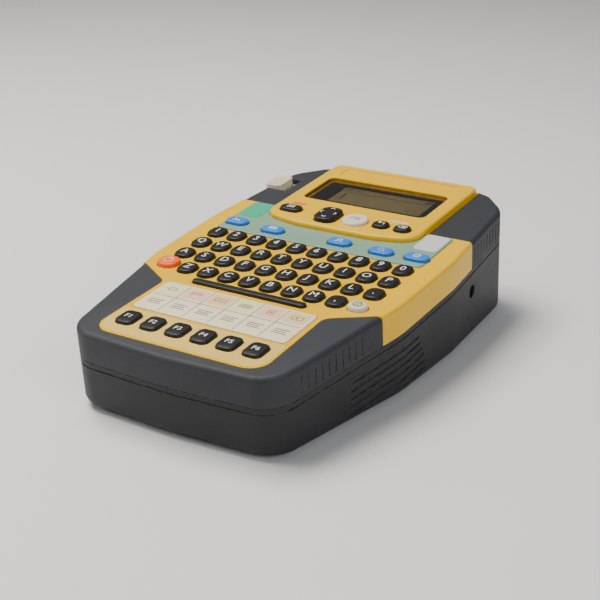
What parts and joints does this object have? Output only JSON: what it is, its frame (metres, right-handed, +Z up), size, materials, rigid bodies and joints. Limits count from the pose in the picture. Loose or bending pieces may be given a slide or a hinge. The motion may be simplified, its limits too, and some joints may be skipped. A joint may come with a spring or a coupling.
{
  "type": "handheld label printer",
  "caption": "Handheld thermal label printer with a letter keypad, a display, a label cutter and a tape cassette behind a door.",
  "frame": {"origin": "on the ground plane under the middle of the device, where its feet stand", "axes": "+X to the right of the keypad, +Y towards the display end, +Z up"},
  "size_m": [0.1338, 0.2217, 0.0604],
  "materials": {
    "charcoal_shell": "fine matt grain",
    "yellow_shell": "satin",
    "silver_band": "satin",
    "cream_panel": "matt",
    "black_rubber": "matt, fine texture",
    "window": "clear, glossy",
    "display": "matt",
    "circuit_board": "satin",
    "key_rubber": "satin",
    "works_plastic": "matt",
    "steel": "brushed",
    "cream_key": "satin",
    "gear_plastic": "satin",
    "white_tape": "satin",
    "orange_key": "satin",
    "blue_key": "satin"
  },
  "bodies": {
    "case": {"rear_housing": "charcoal_shell", "front_housing": "yellow_shell", "function_strip": "silver_band", "legend_panel": "cream_panel", "shoulder_cover_left": "black_rubber", "shoulder_cover_right": "black_rubber", "grip_cover": "black_rubber", "display_lens": "window", "display_module": "display", "main_board": "circuit_board", "keypad_mat": "key_rubber", "power_socket": "key_rubber", "printer_chassis": "works_plastic", "print_head": "steel", "feed_motor": "steel", "tape_cassette": "works_plastic", "cassette_door_pin": "steel", "battery_door_pin": "steel", "battery_pack": "works_plastic", "cutter_spring": "steel", "foot_1": "black_rubber", "foot_2": "black_rubber", "foot_3": "black_rubber", "foot_4": "black_rubber"},
    "key_row_1": {"key_row_1": "key_rubber"},
    "key_row_2": {"key_row_2": "key_rubber"},
    "key_row_3": {"key_row_3": "key_rubber"},
    "key_row_4": {"key_row_4": "key_rubber"},
    "power_key": {"power_key": "orange_key"},
    "print_key": {"print_key": "cream_key"},
    "space_key": {"space_key": "key_rubber"},
    "function_key_1": {"function_key_1": "blue_key"},
    "function_key_2": {"function_key_2": "blue_key"},
    "function_key_3": {"function_key_3": "blue_key"},
    "function_key_4": {"function_key_4": "blue_key"},
    "function_key_5": {"function_key_5": "blue_key"},
    "hot_key_1": {"hot_key_1": "key_rubber"},
    "hot_key_2": {"hot_key_2": "key_rubber"},
    "hot_key_3": {"hot_key_3": "key_rubber"},
    "hot_key_4": {"hot_key_4": "key_rubber"},
    "hot_key_5": {"hot_key_5": "key_rubber"},
    "hot_key_6": {"hot_key_6": "key_rubber"},
    "menu_key": {"menu_key": "key_rubber"},
    "nav_pad": {"nav_pad": "key_rubber"},
    "ok_key": {"ok_key": "cream_key"},
    "back_key": {"back_key": "key_rubber"},
    "delete_key": {"delete_key": "key_rubber"},
    "cutter": {"cutter_button": "cream_key", "cutter_blade": "steel"},
    "cassette_door": {"cassette_door": "charcoal_shell"},
    "battery_door": {"battery_door": "charcoal_shell"},
    "door_latch": {"door_latch": "black_rubber"},
    "tape_roll": {"tape_roll": "white_tape"},
    "platen": {"platen_roller": "black_rubber", "platen_gear": "gear_plastic"},
    "idler": {"idler_gear": "gear_plastic"},
    "motor_pinion": {"motor_pinion": "gear_plastic"},
    "ribbon_supply": {"ribbon_supply": "key_rubber"},
    "ribbon_takeup": {"ribbon_takeup": "key_rubber"}
  },
  "joints": [
    {"name": "key_row_1_press", "type": "slide", "parent": "case", "child": "key_row_1", "axis": [0, 0.0872, -0.9962], "range_m": [0, 0.001], "stiffness_N_per_m": 600, "springref_m": -0.001},
    {"name": "key_row_2_press", "type": "slide", "parent": "case", "child": "key_row_2", "axis": [0, 0.0872, -0.9962], "range_m": [0, 0.001], "stiffness_N_per_m": 600, "springref_m": -0.001},
    {"name": "key_row_3_press", "type": "slide", "parent": "case", "child": "key_row_3", "axis": [0, 0.0872, -0.9962], "range_m": [0, 0.001], "stiffness_N_per_m": 600, "springref_m": -0.001},
    {"name": "key_row_4_press", "type": "slide", "parent": "case", "child": "key_row_4", "axis": [0, 0.0872, -0.9962], "range_m": [0, 0.001], "stiffness_N_per_m": 600, "springref_m": -0.001},
    {"name": "power_key_press", "type": "slide", "parent": "case", "child": "power_key", "axis": [0, 0.0872, -0.9962], "range_m": [0, 0.001], "stiffness_N_per_m": 600, "springref_m": -0.001},
    {"name": "print_key_press", "type": "slide", "parent": "case", "child": "print_key", "axis": [0, 0.0872, -0.9962], "range_m": [0, 0.001], "stiffness_N_per_m": 600, "springref_m": -0.001},
    {"name": "space_key_press", "type": "slide", "parent": "case", "child": "space_key", "axis": [0, 0.0872, -0.9962], "range_m": [0, 0.001], "stiffness_N_per_m": 600, "springref_m": -0.001},
    {"name": "function_key_1_press", "type": "slide", "parent": "case", "child": "function_key_1", "axis": [0, 0.0872, -0.9962], "range_m": [0, 0.001], "stiffness_N_per_m": 600, "springref_m": -0.001},
    {"name": "function_key_2_press", "type": "slide", "parent": "case", "child": "function_key_2", "axis": [0, 0.0872, -0.9962], "range_m": [0, 0.001], "stiffness_N_per_m": 600, "springref_m": -0.001},
    {"name": "function_key_3_press", "type": "slide", "parent": "case", "child": "function_key_3", "axis": [0, 0.0872, -0.9962], "range_m": [0, 0.001], "stiffness_N_per_m": 600, "springref_m": -0.001},
    {"name": "function_key_4_press", "type": "slide", "parent": "case", "child": "function_key_4", "axis": [0, 0.0872, -0.9962], "range_m": [0, 0.001], "stiffness_N_per_m": 600, "springref_m": -0.001},
    {"name": "function_key_5_press", "type": "slide", "parent": "case", "child": "function_key_5", "axis": [0, 0.0872, -0.9962], "range_m": [0, 0.001], "stiffness_N_per_m": 600, "springref_m": -0.001},
    {"name": "hot_key_1_press", "type": "slide", "parent": "case", "child": "hot_key_1", "axis": [0, 0.0872, -0.9962], "range_m": [0, 0.001], "stiffness_N_per_m": 600, "springref_m": -0.001},
    {"name": "hot_key_2_press", "type": "slide", "parent": "case", "child": "hot_key_2", "axis": [0, 0.0872, -0.9962], "range_m": [0, 0.001], "stiffness_N_per_m": 600, "springref_m": -0.001},
    {"name": "hot_key_3_press", "type": "slide", "parent": "case", "child": "hot_key_3", "axis": [0, 0.0872, -0.9962], "range_m": [0, 0.001], "stiffness_N_per_m": 600, "springref_m": -0.001},
    {"name": "hot_key_4_press", "type": "slide", "parent": "case", "child": "hot_key_4", "axis": [0, 0.0872, -0.9962], "range_m": [0, 0.001], "stiffness_N_per_m": 600, "springref_m": -0.001},
    {"name": "hot_key_5_press", "type": "slide", "parent": "case", "child": "hot_key_5", "axis": [0, 0.0872, -0.9962], "range_m": [0, 0.001], "stiffness_N_per_m": 600, "springref_m": -0.001},
    {"name": "hot_key_6_press", "type": "slide", "parent": "case", "child": "hot_key_6", "axis": [0, 0.0872, -0.9962], "range_m": [0, 0.001], "stiffness_N_per_m": 600, "springref_m": -0.001},
    {"name": "menu_key_press", "type": "slide", "parent": "case", "child": "menu_key", "axis": [0, 0.0872, -0.9962], "range_m": [0, 0.001], "stiffness_N_per_m": 600, "springref_m": -0.001},
    {"name": "nav_pad_press", "type": "slide", "parent": "case", "child": "nav_pad", "axis": [0, 0.0872, -0.9962], "range_m": [0, 0.001], "stiffness_N_per_m": 600, "springref_m": -0.001},
    {"name": "ok_key_press", "type": "slide", "parent": "case", "child": "ok_key", "axis": [0, 0.0872, -0.9962], "range_m": [0, 0.001], "stiffness_N_per_m": 600, "springref_m": -0.001},
    {"name": "back_key_press", "type": "slide", "parent": "case", "child": "back_key", "axis": [0, 0.0872, -0.9962], "range_m": [0, 0.001], "stiffness_N_per_m": 600, "springref_m": -0.001},
    {"name": "delete_key_press", "type": "slide", "parent": "case", "child": "delete_key", "axis": [0, 0.0872, -0.9962], "range_m": [0, 0.001], "stiffness_N_per_m": 600, "springref_m": -0.001},
    {"name": "cutter_slide", "type": "slide", "parent": "case", "child": "cutter", "axis": [1, 0, 0], "range_m": [0, 0.0035], "stiffness_N_per_m": 400, "springref_m": -0.002, "deforming": ["cutter_spring"]},
    {"name": "cassette_door_hinge", "type": "hinge", "parent": "case", "child": "cassette_door", "pos_m": [0, 0.0208, 0.0029], "axis": [-1, 0, 0], "range_deg": [0, 90]},
    {"name": "battery_door_hinge", "type": "hinge", "parent": "case", "child": "battery_door", "pos_m": [0, -0.0462, 0.0029], "axis": [1, 0, 0], "range_deg": [0, 90]},
    {"name": "door_latch_slide", "type": "slide", "parent": "case", "child": "door_latch", "axis": [0, 1, 0], "range_m": [0, 0.003]},
    {"name": "tape_roll_spin", "type": "hinge", "parent": "case", "child": "tape_roll", "pos_m": [0.013, 0.05406, 0.01879], "axis": [0, -0.0872, 0.9962], "continuous": true},
    {"name": "platen_spin", "type": "hinge", "parent": "case", "child": "platen", "pos_m": [-0.02, 0.09042, 0.02197], "axis": [0, -0.0872, 0.9962], "continuous": true},
    {"name": "idler_spin", "type": "hinge", "parent": "case", "child": "idler", "pos_m": [-0.004, 0.08937, 0.03393], "axis": [0, -0.0872, 0.9962], "continuous": true},
    {"name": "motor_spin", "type": "hinge", "parent": "case", "child": "motor_pinion", "pos_m": [0.0104, 0.08937, 0.03393], "axis": [0, -0.0872, 0.9962], "continuous": true},
    {"name": "ribbon_supply_spin", "type": "hinge", "parent": "case", "child": "ribbon_supply", "pos_m": [-0.0093, 0.0695, 0.02014], "axis": [0, -0.0872, 0.9962], "continuous": true},
    {"name": "ribbon_takeup_spin", "type": "hinge", "parent": "case", "child": "ribbon_takeup", "pos_m": [-0.0093, 0.04111, 0.01766], "axis": [0, -0.0872, 0.9962], "continuous": true}
  ],
  "couplings": [
    {"joint": "platen_spin", "follows": "tape_roll_spin", "ratio": 4.625},
    {"joint": "idler_spin", "follows": "tape_roll_spin", "ratio": -3.0833},
    {"joint": "motor_spin", "follows": "tape_roll_spin", "ratio": 6.1667},
    {"joint": "ribbon_supply_spin", "follows": "tape_roll_spin", "ratio": 3.7},
    {"joint": "ribbon_takeup_spin", "follows": "tape_roll_spin", "ratio": 3.3636}
  ]
}
